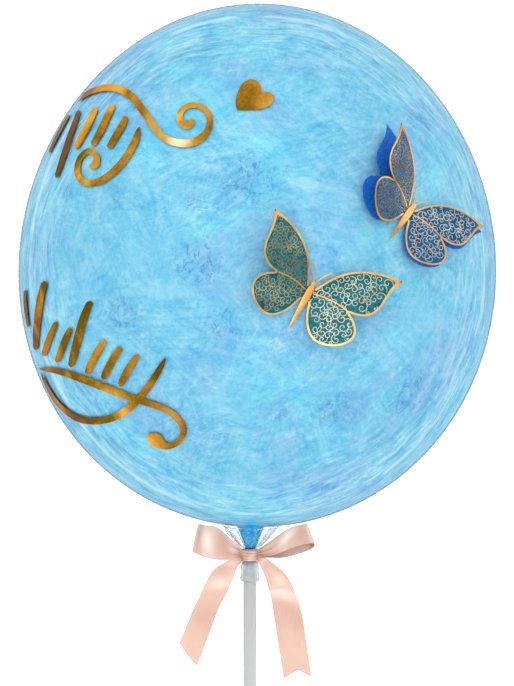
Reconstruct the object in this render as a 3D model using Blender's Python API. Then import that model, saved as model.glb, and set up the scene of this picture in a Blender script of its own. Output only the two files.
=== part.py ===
"""Clear bubble balloon on a tube stick, lying loose on its side.

All shapes are set out in the balloon's own directions, in millimetres: x to the right, a along the
stick towards the crown, f towards the decorated front. They are then laid down together, front up,
with the underside's flat spot and the far end of the stick on the ground.
"""

import bpy
import bmesh
from math import asin, atan2, cos, pi, radians, sin, sqrt
from mathutils import Vector
from mathutils.geometry import tessellate_polygon

# Bubble, blown to the eighteen inch size
BALL_RADIUS = 228.5
BALL_HALF_LENGTH = 250.3
EGG_TAPER = 0.025
FLAT_SPOT_DEPTH = 1.8
BALL_SEGMENTS = 48
BALL_RINGS = 26
FUNNEL_INSET = 3.5
NECK_RADIUS = 4.4
NECK_LENGTH = 26.5
FUNNEL = [
    (31.0, -0.09), (25.8, -0.03), (24.3, 0.03), (21.3, 0.20),
    (17.8, 0.42), (14.4, 0.63), (11.4, 0.80), (8.6, 0.90),
]

# Knot, cup and stick, each following the one before along the stick
KNOT_SIDE_SHIFT = -7.4
KNOT_HEIGHT = 9.6
KNOT_RADIUS = 8.2
KNOT_ROUNDING = 0.7
KNOT_CLEARANCE = 0.45
KNOT_TO_CUP = 2.0
CUP_HEIGHT = 19.1
CUP_WALL = 2.55
CUP_RIM = 0.9
CUP_RECESS_DEPTH = 5.6
CUP_CLEARANCE = 0.6
CUP_WEB = 1.7
CUP_WEB_HOLE_RADIUS = 3.0
NECK_SEAT_GAP = 0.8
STICK_RADIUS = 6.2
STICK_WALL = 1.2
STICK_LENGTH = 700.0
STICK_FIT = 0.35
STICK_SEAT_GAP = 0.3
TUBE_SEGMENTS = 24

# Ribbon, butterflies and heart
RIBBON_THICKNESS = 0.7
RIBBON_COLUMNS = 4
LOOP_STEPS = 32
TAIL_STEPS = 16
CARD_THICKNESS = 0.6
CARD_GAP = 0.4
BODY_HALF_WIDTH = 3.2
BODY_SAG_RADIUS = 240.0
HEART_THICKNESS = 0.4
HEART_GAP = 0.35

MM = 0.001

# Places along the stick that follow from the sizes above
KNOT_DISTANCE = BALL_HALF_LENGTH + NECK_LENGTH
CUP_TOP = KNOT_DISTANCE + KNOT_HEIGHT / 2 + KNOT_TO_CUP
CUP_BOTTOM = CUP_TOP + CUP_HEIGHT
WEB_TOP = CUP_TOP + CUP_RECESS_DEPTH
WEB_BOTTOM = WEB_TOP + CUP_WEB
NECK_END = WEB_TOP - NECK_SEAT_GAP
STICK_TOP = WEB_BOTTOM + STICK_SEAT_GAP
STICK_END = STICK_TOP + STICK_LENGTH
SOCKET_RADIUS = STICK_RADIUS + STICK_FIT
LEAN = atan2(-KNOT_SIDE_SHIFT, KNOT_DISTANCE)


# Helpers

def clear_scene():
    """Removes every object from the scene."""
    for obj in list(bpy.data.objects):
        bpy.data.objects.remove(obj, do_unlink=True)


def material(name, colour, roughness, metallic):
    """Returns a plain material with the given colour, roughness and metallic value."""
    mat = bpy.data.materials.new(name)
    mat.use_nodes = True
    shader = mat.node_tree.nodes["Principled BSDF"]
    shader.inputs["Base Color"].default_value = (*colour, 1.0)
    shader.inputs["Roughness"].default_value = roughness
    shader.inputs["Metallic"].default_value = metallic
    return mat


def ball_radius(along):
    """Radius of the bubble at a distance along its own axis: an ellipse, a little slimmer at the crown."""
    share = max(-1.0, min(1.0, along / BALL_HALF_LENGTH))
    return BALL_RADIUS * sqrt(1.0 - share * share) * (1.0 - EGG_TAPER * share)


def bubble_profile():
    """Radius and distance pairs from just below the crown to the gathered end of the neck."""
    lowest = asin(FUNNEL_INSET / BALL_HALF_LENGTH - 1.0)
    points = []
    for i in range(1, BALL_RINGS + 1):
        angle = pi / 2 + (lowest - pi / 2) * i / BALL_RINGS
        along = BALL_HALF_LENGTH * sin(angle)
        points.append((ball_radius(along), along))
    open_length = NECK_LENGTH - KNOT_HEIGHT / 2
    for radius, share in FUNNEL:
        points.append((radius, -BALL_HALF_LENGTH - share * open_length))
    points.append((NECK_RADIUS, -BALL_HALF_LENGTH - 0.96 * open_length))
    points.append((NECK_RADIUS, -NECK_END))
    return points


def lean(point):
    """Turns a point of the bubble about its middle so that its neck meets the stick."""
    x, a, f = point
    return Vector((x * cos(LEAN) + a * sin(LEAN), a * cos(LEAN) - x * sin(LEAN), f))


def lowest_of_bubble(tilt):
    """Depth of the bubble's lowest point below its middle when the stick end is tilted down."""
    depths = []
    for radius, along in bubble_profile():
        depths.append(radius * cos(tilt) - along * sin(tilt))
    return max(depths)


def resting_tilt():
    """Tilt at which the flat spot and the stick's far end both meet the ground."""
    low, high = 0.0, radians(30.0)
    for _ in range(50):
        tilt = (low + high) / 2
        middle = lowest_of_bubble(tilt) - FLAT_SPOT_DEPTH
        end_height = middle - STICK_END * sin(tilt) - STICK_RADIUS * cos(tilt)
        if end_height > 0:
            low = tilt
        else:
            high = tilt
    return (low + high) / 2


TILT = resting_tilt()
MIDDLE_HEIGHT = lowest_of_bubble(TILT) - FLAT_SPOT_DEPTH


def lay(point):
    """Lays a point of the balloon's own directions down on the ground, in metres."""
    x, a, f = point
    y = a * cos(TILT) - f * sin(TILT)
    z = a * sin(TILT) + f * cos(TILT) + MIDDLE_HEIGHT
    return Vector((x * MM, y * MM, z * MM))


def build(name, points, faces, mat, smooth_angle):
    """Makes one closed object from points in the balloon's own directions and faces between them."""
    mesh = bpy.data.meshes.new(name)
    mesh.from_pydata([lay(p) for p in points], [], faces)
    shape = bmesh.new()
    shape.from_mesh(mesh)
    bmesh.ops.recalc_face_normals(shape, faces=shape.faces)
    shape.to_mesh(mesh)
    shape.free()
    obj = bpy.data.objects.new(name, mesh)
    bpy.context.collection.objects.link(obj)
    mesh.materials.append(mat)
    if smooth_angle:
        mesh.shade_smooth()
        mesh.set_sharp_from_angle(angle=radians(smooth_angle))
    return obj


def ring_faces(rings, count, closed):
    """Quads between successive rings of count points each; closed also joins the last to the first."""
    faces = []
    pairs = rings if closed else rings - 1
    for r in range(pairs):
        s = (r + 1) % rings
        for i in range(count):
            j = (i + 1) % count
            faces.append((r * count + i, r * count + j, s * count + j, s * count + i))
    return faces


def circle_points(radius, along, count, shift, leaning):
    """One ring of points about the bubble's axis, or about the stick's axis."""
    points = []
    for i in range(count):
        angle = 2 * pi * i / count - pi / 2
        point = (radius * cos(angle) + shift, along, radius * sin(angle))
        points.append(lean(point) if leaning else Vector(point))
    return points


# Pieces

def make_bubble(mat):
    """The sealed bubble with its gathered neck, and a flat spot where it lies."""
    points = [lean((0.0, BALL_HALF_LENGTH, 0.0))]
    profile = bubble_profile()
    for radius, along in profile:
        points += circle_points(radius, along, BALL_SEGMENTS, 0.0, True)
    faces = []
    for face in ring_faces(len(profile), BALL_SEGMENTS, False):
        faces.append(tuple(v + 1 for v in face))
    for i in range(BALL_SEGMENTS):
        faces.append((0, 1 + i, 1 + (i + 1) % BALL_SEGMENTS))
    first = 1 + (len(profile) - 1) * BALL_SEGMENTS
    faces.append(tuple(range(first, first + BALL_SEGMENTS)))
    obj = build("bubble", points, faces, mat, 40.0)
    cut_flat_spot(obj)
    return obj


def cut_flat_spot(obj):
    """Cuts the object off level at the ground and closes the cut."""
    shape = bmesh.new()
    shape.from_mesh(obj.data)
    geometry = shape.verts[:] + shape.edges[:] + shape.faces[:]
    cut = bmesh.ops.bisect_plane(
        shape, geom=geometry, plane_co=(0, 0, 0), plane_no=(0, 0, -1), clear_outer=True
    )
    edges = [item for item in cut["geom_cut"] if isinstance(item, bmesh.types.BMEdge)]
    bmesh.ops.contextual_create(shape, geom=edges)
    bmesh.ops.recalc_face_normals(shape, faces=shape.faces)
    shape.to_mesh(obj.data)
    shape.free()


def make_turned(name, profile, mat):
    """A closed ring turned about the stick's axis from a closed profile of radius and distance pairs."""
    points = []
    for radius, distance in profile:
        points += circle_points(radius, -distance, TUBE_SEGMENTS, KNOT_SIDE_SHIFT, False)
    faces = ring_faces(len(profile), TUBE_SEGMENTS, True)
    return build(name, points, faces, mat, 35.0)


def cup_profile():
    """Outer wall, then the stick's socket, the web's hole and the neck's recess, as one closed line."""
    recess = NECK_RADIUS + CUP_CLEARANCE
    radius = SOCKET_RADIUS + CUP_WALL
    outer = [(recess + CUP_RIM, CUP_TOP), (radius - 1.7, CUP_TOP + 0.7), (radius - 0.8, CUP_TOP + 2.8)]
    outer += [(radius - 0.4, CUP_BOTTOM - 7.0), (radius, CUP_BOTTOM - 4.0), (radius, CUP_BOTTOM - 0.8)]
    outer += [(radius - 0.8, CUP_BOTTOM)]
    inner = [(SOCKET_RADIUS + 1.0, CUP_BOTTOM), (SOCKET_RADIUS, CUP_BOTTOM - 3.0)]
    inner += [(SOCKET_RADIUS, WEB_BOTTOM)]
    inner += [(CUP_WEB_HOLE_RADIUS, WEB_BOTTOM), (CUP_WEB_HOLE_RADIUS, WEB_TOP)]
    inner += [(recess, WEB_TOP), (recess, CUP_TOP)]
    return outer + inner


def make_stick(mat):
    """The long clear tube, seated in the cup and cut square at its far end."""
    bore = STICK_RADIUS - STICK_WALL
    profile = [(STICK_RADIUS, STICK_TOP), (STICK_RADIUS, STICK_END), (bore, STICK_END), (bore, STICK_TOP)]
    return make_turned("stick", profile, mat)


def smooth_line(points, steps):
    """Points of a smooth curve through the given ones (Catmull-Rom), evenly shared between them."""
    line = []
    last = len(points) - 1
    for i in range(steps + 1):
        place = last * i / steps
        k = min(int(place), last - 1)
        t = place - k
        p1 = Vector(points[k])
        p2 = Vector(points[k + 1])
        p0 = Vector(points[k - 1]) if k > 0 else p1 * 2 - p2
        p3 = Vector(points[k + 2]) if k + 2 <= last else p2 * 2 - p1
        bend = p0 * 2 - p1 * 5 + p2 * 4 - p3
        rest = p1 * 3 - p0 - p2 * 3 + p3
        line.append((p1 * 2 + (p2 - p0) * t + bend * t * t + rest * t * t * t) / 2)
    return line


def ribbon_grid(edge_a, edge_b, steps, notch):
    """Rows of points across a ribbon between its two edges; notch draws the last row's middle back."""
    side_a = smooth_line(edge_a, steps)
    side_b = smooth_line(edge_b, steps)
    rows = []
    for a, b in zip(side_a, side_b):
        rows.append([a.lerp(b, c / RIBBON_COLUMNS) for c in range(RIBBON_COLUMNS + 1)])
    for c in range(RIBBON_COLUMNS + 1):
        share = 1.0 - abs(2.0 * c / RIBBON_COLUMNS - 1.0)
        back = rows[-2][c] - rows[-1][c]
        if back.length > 0:
            rows[-1][c] = rows[-1][c] + back.normalized() * min(notch * share, back.length * 0.9)
    return rows


def grid_normal(rows, r, c):
    """Direction square to the ribbon at one point of its grid."""
    ahead = rows[min(r + 1, len(rows) - 1)][c] - rows[max(r - 1, 0)][c]
    across = rows[r][min(c + 1, RIBBON_COLUMNS)] - rows[r][max(c - 1, 0)]
    return ahead.cross(across).normalized()


def ribbon_strip(name, edge_a, edge_b, steps, notch, mat):
    """A closed strip of ribbon of even thickness between two smooth edges."""
    rows = ribbon_grid(edge_a, edge_b, steps, notch)
    columns = RIBBON_COLUMNS + 1
    points = []
    for r, row in enumerate(rows):
        shifts = [grid_normal(rows, r, c) * (RIBBON_THICKNESS / 2) for c in range(columns)]
        points += [knot_point(row[c] + shifts[c]) for c in range(columns)]
        points += [knot_point(row[c] - shifts[c]) for c in reversed(range(columns))]
    faces = ring_faces(len(rows), columns * 2, False)
    last = (len(rows) - 1) * columns * 2
    for c in range(RIBBON_COLUMNS):
        d = columns * 2 - 1 - c
        faces.append((c, c + 1, d - 1, d))
        faces.append((last + c, last + c + 1, last + d - 1, last + d))
    return build(name, points, faces, mat, 30.0)


def knot_point(point):
    """Moves a point measured from the knot to the bubble's middle."""
    return Vector((point[0] + KNOT_SIDE_SHIFT, point[1] - KNOT_DISTANCE, point[2]))


def make_knot(mat):
    """The ring of ribbon wound tightly round the neck."""
    half = KNOT_HEIGHT / 2
    top = KNOT_DISTANCE - half
    base = KNOT_DISTANCE + half
    inner = NECK_RADIUS + KNOT_CLEARANCE
    edge = KNOT_RADIUS - KNOT_ROUNDING
    profile = [(edge, top), (KNOT_RADIUS, top + 2.2), (KNOT_RADIUS, base - 2.2), (edge, base)]
    profile += [(inner, base), (inner, top)]
    return make_turned("ribbon_bow", profile, mat)


def join_solids(base, others):
    """Unites the other solids with the base one into a single body."""
    for other in others:
        cut = base.modifiers.new("unite", "BOOLEAN")
        cut.operation = "UNION"
        cut.solver = "EXACT"
        cut.object = other
        depsgraph = bpy.context.evaluated_depsgraph_get()
        mesh = bpy.data.meshes.new_from_object(base.evaluated_get(depsgraph))
        base.modifiers.clear()
        base.data = mesh
        bpy.data.objects.remove(other, do_unlink=True)


LEFT_LOOP_TOP = [
    (-5.6, 3.3, 3.6), (-17, 13.9, 9), (-30.4, 26.0, 12), (-44, 28.4, 8.5), (-48.3, 28.2, 0.5),
    (-44, 27.2, -7), (-30, 20.5, -9.5), (-17, 11, -7.5), (-5.6, 2.6, -3.6),
]
LEFT_LOOP_LOW = [
    (-5.6, -2.9, 3.6), (-19, -4.8, 9), (-36.2, -3.8, 12), (-51.5, 1.2, 8.5), (-56.3, 3.3, 0.5),
    (-51.5, 2.5, -7), (-36, -2, -9.5), (-19, -4, -7.5), (-5.6, -2.8, -3.6),
]
RIGHT_LOOP_TOP = [
    (5.6, 3.3, 3.6), (17.4, 11.5, 9), (36.6, 25.4, 13), (52, 29.5, 9), (56, 29.7, 0.5),
    (51, 27.5, -7.5), (34, 19, -10), (17, 9.5, -7.5), (5.6, 2, -3.6),
]
RIGHT_LOOP_LOW = [
    (5.6, -1.9, 3.6), (21.2, -0.5, 9), (38.5, 6.2, 13), (55, 10.5, 9), (61, 9.5, 0.5),
    (57.5, 3.2, -7.5), (34, -4.2, -10), (18, -4.3, -7.5), (5.6, -3.6, -3.6),
]
LEFT_TAIL_OUTER = [
    (-5.2, -1.6, 5.0), (-12, -3.2, 6.5), (-22.8, -6.7, 7), (-37.7, -18.8, 5), (-52.2, -50.0, -12),
    (-68.5, -90.1, -42),
]
LEFT_TAIL_INNER = [
    (-5.0, -4.4, 4.6), (-8.6, -8.0, 6), (-12.6, -13.5, 6.5), (-18, -27.8, 3), (-30.8, -56.5, -16),
    (-51.7, -114.1, -52),
]
RIGHT_TAIL_OUTER = [
    (5.2, -1.6, 5.0), (11, -2.6, 6.5), (17.7, -4.8, 7.5), (36.6, -22.6, 5), (49, -55.2, -12),
    (60.4, -125.4, -52),
]
RIGHT_TAIL_INNER = [
    (5.0, -4.4, 4.6), (7.4, -7.6, 6), (10.1, -10.5, 6.5), (16.5, -26.8, 3), (21.7, -51.3, -12),
    (33.4, -128.0, -54),
]
SWALLOWTAIL_DEPTH = 10.0


def make_bow(mat):
    """One ribbon tied round the neck: knot, two loops and two tails."""
    knot = make_knot(mat)
    parts = [
        ribbon_strip("left_loop", LEFT_LOOP_TOP, LEFT_LOOP_LOW, LOOP_STEPS, 0.0, mat),
        ribbon_strip("right_loop", RIGHT_LOOP_TOP, RIGHT_LOOP_LOW, LOOP_STEPS, 0.0, mat),
        ribbon_strip("left_tail", LEFT_TAIL_OUTER, LEFT_TAIL_INNER, TAIL_STEPS, 0.0, mat),
        ribbon_strip("right_tail", RIGHT_TAIL_OUTER, RIGHT_TAIL_INNER, TAIL_STEPS, SWALLOWTAIL_DEPTH, mat),
    ]
    join_solids(knot, parts)
    return knot


# Half of the butterfly outline from the head to the tail: distance from the body, then along it
HALF_OUTLINE = [
    (0.8, 12.8), (4.2, 19.6), (9.2, 26.2), (10.2, 25.4), (5.4, 18.8), (2.2, 11.8), (2.6, 9.0),
    (BODY_HALF_WIDTH, 6.0), (7.8, 14.5), (13.4, 23.4), (20.8, 31.5), (29.4, 37.8), (38.6, 42.4),
    (48.2, 45.6), (57.6, 47.6), (67.3, 48.6), (63.0, 38.0), (61.6, 28.5), (60.6, 19.5), (57.4, 11.6),
    (51.6, 6.4), (44.4, 3.6), (37.8, 2.7), (44.5, -1.0), (49.8, -6.0), (52.4, -11.5), (52.0, -17.5),
    (48.5, -23.0), (43.5, -27.5), (37.0, -31.0), (30.0, -32.9), (23.5, -32.6), (17.5, -29.6),
    (11.8, -23.8), (7.4, -16.4), (4.6, -8.4), (BODY_HALF_WIDTH, -6.0), (2.5, -14.0), (1.7, -24.0),
    (0.8, -33.5),
]


# Where the butterflies sit on the bubble: degrees round to the right, then up towards the crown
TEAL_DEGREES = (11.5, -5.4)
BLUE_DEGREES = (37.0, 11.75)


def flat_butterfly():
    """Flat triangulated outline, cut along the folds and in bands so that it can be bent."""
    outline = [(u, v) for u, v in HALF_OUTLINE]
    outline += [(0.0, -35.5)]
    outline += [(-u, v) for u, v in reversed(HALF_OUTLINE)]
    outline += [(0.0, 12.0)]
    flat = [Vector((u, v, 0.0)) for u, v in outline]
    shape = bmesh.new()
    corners = [shape.verts.new(p) for p in flat]
    for triangle in tessellate_polygon([flat]):
        shape.faces.new([corners[i] for i in triangle])
    cuts = [((side * BODY_HALF_WIDTH, 0, 0), (1, 0, 0)) for side in (-1, 1)]
    cuts += [((0, level, 0), (0, 1, 0)) for level in (-24, -12, 0, 12, 24, 36)]
    for spot, direction in cuts:
        geometry = shape.verts[:] + shape.edges[:] + shape.faces[:]
        bmesh.ops.bisect_plane(shape, geom=geometry, plane_co=spot, plane_no=direction, dist=0.001)
    bmesh.ops.triangulate(shape, faces=shape.faces[:])
    return shape


def spot_on_ball(longitude, latitude):
    """A point of the bubble's surface, with its east, north and outward directions."""
    def place(lon, lat):
        along = BALL_HALF_LENGTH * sin(lat)
        radius = ball_radius(along)
        return lean((radius * sin(lon), along, radius * cos(lon)))
    step = 0.0001
    spot = place(longitude, latitude)
    east = (place(longitude + step, latitude) - spot).normalized()
    north = (place(longitude, latitude + step) - spot).normalized()
    return spot, east, north, east.cross(north).normalized()


def make_butterfly(name, place, heading, folds, size, lift, mat):
    """A butterfly of thin card whose body lies along the bubble and whose wings fold up at its sides."""
    spot, east, north, out = spot_on_ball(radians(place[0]), radians(place[1]))
    turn = radians(heading)
    forward = north * cos(turn) + east * sin(turn)
    side = east * cos(turn) - north * sin(turn)
    flat = flat_butterfly()
    flat.verts.index_update()
    points = []
    for level in (lift, lift + CARD_THICKNESS):
        for vert in flat.verts:
            u, v = vert.co.x * size, vert.co.y * size
            fold = radians(folds[1] if u > 0 else folds[0])
            reach = max(0.0, abs(u) - BODY_HALF_WIDTH)
            inner = min(abs(u), BODY_HALF_WIDTH)
            across = side * ((inner + reach * cos(fold)) * (1 if u > 0 else -1))
            height = level + reach * sin(fold) - v * v / (2 * BODY_SAG_RADIUS)
            points.append(spot + forward * v + across + out * height)
    count = len(flat.verts)
    faces = []
    for face in flat.faces:
        lower = [v.index for v in face.verts]
        faces.append(tuple(lower))
        faces.append(tuple(i + count for i in reversed(lower)))
    for edge in flat.edges:
        if edge.is_boundary:
            i, j = edge.verts[0].index, edge.verts[1].index
            faces.append((i, j, j + count, i + count))
    flat.free()
    return build(name, points, faces, mat, 0.0)


# Outline of the heart as seen from the front: x, then a, from the bubble's middle
HEART_OUTLINE = [
    (3.1, 157.6), (2.5, 162.1), (-0.6, 166.4), (-4.4, 168.6), (-8.3, 167.6), (-11.7, 162.8), (-14.0, 156.7),
    (-16.0, 148.9), (-18.7, 140.2), (-11.7, 139.5), (-3.8, 139.5), (3.2, 139.7), (7.7, 140.7), (11.9, 143.4),
    (14.5, 147.9), (14.5, 152.4), (11.9, 155.5), (7.7, 156.9),
]
HEART_MIDDLE = (-1.4, 151.0)


def front_point(x, a, height):
    """The point that shows at x and a from the front, a height above the bubble's surface."""
    own_x = x * cos(LEAN) - a * sin(LEAN)
    own_a = a * cos(LEAN) + x * sin(LEAN)
    radius = ball_radius(own_a)
    depth = sqrt(radius * radius - own_x * own_x)
    slope = (ball_radius(own_a + 0.5) - ball_radius(own_a - 0.5))
    out = Vector((own_x / radius, -slope, depth / radius)).normalized()
    return lean(Vector((own_x, own_a, depth)) + out * height)


def make_heart(mat):
    """A small heart of thin foil that follows the bubble's curve."""
    middle_x, middle_a = HEART_MIDDLE
    count = len(HEART_OUTLINE)
    points = []
    for height in (HEART_GAP, HEART_GAP + HEART_THICKNESS):
        points.append(front_point(middle_x, middle_a, height))
        for share in (0.5, 1.0):
            for x, a in HEART_OUTLINE:
                across = middle_x + (x - middle_x) * share
                along = middle_a + (a - middle_a) * share
                points.append(front_point(across, along, height))
    sheet = 1 + 2 * count
    faces = []
    for i in range(count):
        j = (i + 1) % count
        for base in (0, sheet):
            faces.append((base, base + 1 + i, base + 1 + j))
            faces.append((base + 1 + i, base + 1 + count + i, base + 1 + count + j, base + 1 + j))
        faces.append((1 + count + i, 1 + count + j, sheet + 1 + count + j, sheet + 1 + count + i))
    return build("heart_sticker", points, faces, mat, 0.0)


def centre_on_ground(objects):
    """Moves everything together so that the middle of its plan is at the origin."""
    spots = [v.co for obj in objects for v in obj.data.vertices]
    middle_x = (min(p.x for p in spots) + max(p.x for p in spots)) / 2
    middle_y = (min(p.y for p in spots) + max(p.y for p in spots)) / 2
    for obj in objects:
        for vert in obj.data.vertices:
            vert.co.x -= middle_x
            vert.co.y -= middle_y
        obj.data.update()


def main():
    """Builds every piece and lays the balloon on the ground."""
    clear_scene()
    clear_film = material("clear_film", (0.45, 0.75, 0.92), 0.08, 0.0)
    clear_plastic = material("clear_plastic", (0.80, 0.82, 0.84), 0.20, 0.0)
    satin = material("satin_ribbon", (0.90, 0.64, 0.50), 0.45, 0.0)
    teal_foil = material("teal_foil", (0.08, 0.38, 0.44), 0.40, 0.3)
    blue_foil = material("blue_foil", (0.06, 0.25, 0.42), 0.40, 0.3)
    gold_foil = material("gold_foil", (0.80, 0.55, 0.20), 0.35, 0.8)
    blue_card = material("blue_card", (0.01, 0.14, 0.55), 0.60, 0.0)
    over = 2 * CARD_GAP + CARD_THICKNESS
    objects = [
        make_bubble(clear_film),
        make_turned("cup", cup_profile(), clear_plastic),
        make_stick(clear_plastic),
        make_bow(satin),
        make_butterfly("teal_butterfly", TEAL_DEGREES, 27.4, (16.8, 16.1), 1.03, CARD_GAP, teal_foil),
        make_butterfly("blue_butterfly_card", BLUE_DEGREES, 47.3, (0.5, 9.0), 1.0, CARD_GAP, blue_card),
        make_butterfly("blue_butterfly_filigree", BLUE_DEGREES, 44.8, (18.7, 12.0), 0.99, over, blue_foil),
        make_heart(gold_foil),
    ]
    centre_on_ground(objects)


main()
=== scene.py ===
"""Clear bubble balloon on a tube stick, lying front up, seen from straight above its front.

Everything is set out in the balloon's own directions, in millimetres: x to the right, a along the
stick towards the crown, f towards the front. lay() turns that into the frame's metres.
"""

import bmesh
import bpy
import numpy as np
from math import asin, atan2, cos, hypot, pi, radians, sin
from mathutils import Matrix, Vector


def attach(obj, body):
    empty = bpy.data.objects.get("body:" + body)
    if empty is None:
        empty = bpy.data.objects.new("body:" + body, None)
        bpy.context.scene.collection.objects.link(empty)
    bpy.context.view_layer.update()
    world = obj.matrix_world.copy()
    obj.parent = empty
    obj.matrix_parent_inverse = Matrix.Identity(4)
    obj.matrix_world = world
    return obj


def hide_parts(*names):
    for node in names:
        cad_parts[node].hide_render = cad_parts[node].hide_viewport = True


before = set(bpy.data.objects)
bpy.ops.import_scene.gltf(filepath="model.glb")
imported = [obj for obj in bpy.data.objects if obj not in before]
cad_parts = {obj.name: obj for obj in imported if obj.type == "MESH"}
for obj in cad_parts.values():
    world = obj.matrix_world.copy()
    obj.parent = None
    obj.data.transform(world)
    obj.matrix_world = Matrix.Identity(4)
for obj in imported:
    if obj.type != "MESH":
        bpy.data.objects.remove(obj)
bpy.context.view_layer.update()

# Sizes and places of the solid model, in millimetres
BALL_RADIUS = 228.5
HALF_LENGTH = 250.3
TAPER = 0.025
MIDDLE = np.array([0.205, 359.126, 229.220])
KNOT = np.array([-7.4, -276.8, 0.0])
CUP_TOP = 283.6
CUP_BOTTOM = 302.7
STICK_TOP = 291.2
STICK_END = 991.2
STICK_RADIUS = 6.2
STICK_WALL = 1.2
FILM_SEGMENTS = 240
LATEX_SEGMENTS = 256

# The stick's far end touches the ground, and the bubble leans so that its neck meets the stick
TILT = asin(MIDDLE[2] / hypot(STICK_END, STICK_RADIUS)) - atan2(STICK_RADIUS, STICK_END)
LEAN = atan2(-KNOT[0], -KNOT[1])

# The view, and the steps that the front's lines are drawn in, counted from its upper left corner
VIEW_DISTANCE = 3000.0
STEP = 0.9593
MIDDLE_RIGHT = 257.5
MIDDLE_DOWN = 265.8
VIEW_STEPS = 686


# Directions and the bubble's surface

def lay(points):
    """Points of the balloon's own directions, in millimetres, laid down in the frame, in metres."""
    x, a, f = points[..., 0], points[..., 1], points[..., 2]
    y = a * cos(TILT) - f * sin(TILT)
    z = a * sin(TILT) + f * cos(TILT)
    return (np.stack([x, y, z], -1) + MIDDLE) * 0.001


def lean(points):
    """Turns points of the bubble about its middle, so that its neck meets the stick."""
    x, a, f = points[..., 0], points[..., 1], points[..., 2]
    return np.stack([x * cos(LEAN) + a * sin(LEAN), a * cos(LEAN) - x * sin(LEAN), f], -1)


def ball_radius(along):
    """Radius of the bubble along its own axis: an ellipse, a little slimmer at the crown."""
    share = np.clip(along / HALF_LENGTH, -1, 1)
    return BALL_RADIUS * np.sqrt(1 - share * share) * (1 - TAPER * share)


def smooth_line(points, count):
    """count points on the Catmull-Rom curve through the given ones, evenly shared between them."""
    p = np.array(points, float)
    p = np.concatenate([[2 * p[0] - p[1]], p, [2 * p[-1] - p[-2]]])
    place = np.linspace(0, len(p) - 3, count)
    k = np.minimum(place.astype(int), len(p) - 4)
    t = (place - k)[:, None]
    p0, p1, p2, p3 = p[k], p[k + 1], p[k + 2], p[k + 3]
    bend = 2 * p0 - 5 * p1 + 4 * p2 - p3
    return 0.5 * (2 * p1 + (p2 - p0) * t + bend * t ** 2 + (3 * p1 - p0 - 3 * p2 + p3) * t ** 3)


def even_line(points, count):
    """Like smooth_line, with the points evenly spaced along the curve's length."""
    dense = smooth_line(points, count * 8)
    gone = np.concatenate([[0], np.cumsum(np.linalg.norm(np.diff(dense[:, :2], axis=0), axis=1))])
    want = np.linspace(0, gone[-1], count)
    return np.stack([np.interp(want, gone, dense[:, k]) for k in range(dense.shape[1])], -1)


def front_depth(x, a):
    """How far the bubble's surface stands in front of its middle plane at x and a, 0 outside it."""
    own_x = x * cos(LEAN) - a * sin(LEAN)
    own_a = a * cos(LEAN) + x * sin(LEAN)
    return np.sqrt(np.maximum(ball_radius(own_a) ** 2 - own_x ** 2, 0))


SIGHT_STEPS = 60


def on_film(flat, height):
    """Points a height above the bubble that, seen from the view distance, cover points of its middle plane.

    Each point slides along its line of sight, at each step halfway to the depth of the surface there.
    """
    x, a = flat[..., 0], flat[..., 1]
    depth = front_depth(x, a)
    for _ in range(SIGHT_STEPS):
        near = (VIEW_DISTANCE - depth) / VIEW_DISTANCE
        depth = 0.5 * depth + 0.5 * front_depth(x * near, a * near)
    near = (VIEW_DISTANCE - depth) / VIEW_DISTANCE
    spot = np.stack([x * near, a * near, depth], -1)
    out = spot / np.array([BALL_RADIUS, HALF_LENGTH, BALL_RADIUS]) ** 2
    return spot + out / np.linalg.norm(out, axis=-1, keepdims=True) * height


# Meshes

MICRON = 0.000001


def strip_faces(rows, columns, wrap_rows, wrap_columns):
    """Quads of a grid of points, row after row, that may close on itself either way."""
    row = np.arange(rows if wrap_rows else rows - 1)[:, None]
    column = np.arange(columns if wrap_columns else columns - 1)[None, :]
    row_after, column_after = (row + 1) % rows, (column + 1) % columns
    corners = ((row, column), (row, column_after), (row_after, column_after), (row_after, column))
    return np.stack([down * columns + over for down, over in corners], -1).reshape(-1, 4)


def make(name, grids, mat, sharp=None, layers=None):
    """One object at the origin from grids of points (points, wrap rows, wrap columns, close the ends)."""
    points, faces, first = [], [], 0
    for grid, wrap_rows, wrap_columns, ends in grids:
        rows, columns = grid.shape[:2]
        points.append(grid.reshape(-1, 3))
        quads = strip_faces(rows, columns, wrap_rows, wrap_columns)
        first_end, last_end = np.arange(columns)[::-1], np.arange(columns) + (rows - 1) * columns
        if face_inwards(points[-1], quads):
            quads = quads[:, [0, 3, 2, 1]]
            first_end, last_end = (np.roll(end[::-1], 1) for end in (first_end, last_end))
        faces += (quads + first).tolist()
        if ends:
            faces += [(first_end + first).tolist(), (last_end + first).tolist()]
        first += rows * columns
    mesh = bpy.data.meshes.new(name)
    mesh.from_pydata(lay(np.concatenate(points)), [], faces)
    if layers is not None:
        uv = mesh.uv_layers.new(name="run")
        corner = np.empty(len(mesh.loops), dtype=np.int32)
        mesh.loops.foreach_get("vertex_index", corner)
        uv.data.foreach_set("uv", np.concatenate(layers)[corner].astype(np.float32).ravel())
    obj = bpy.data.objects.new(name, mesh)
    bpy.context.collection.objects.link(obj)
    mesh.materials.append(mat)
    mesh.shade_smooth()
    if sharp:
        mesh.set_sharp_from_angle(angle=radians(sharp))
    return obj


def face_inwards(points, quads):
    """Whether a piece's quads face inwards: the volume that they enclose about its middle is negative."""
    p, q, r, s = (points[quads[:, k]] - points.mean(0) for k in range(4))
    return np.sum(p * np.cross(q, r) + p * np.cross(r, s)) < 0


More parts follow.
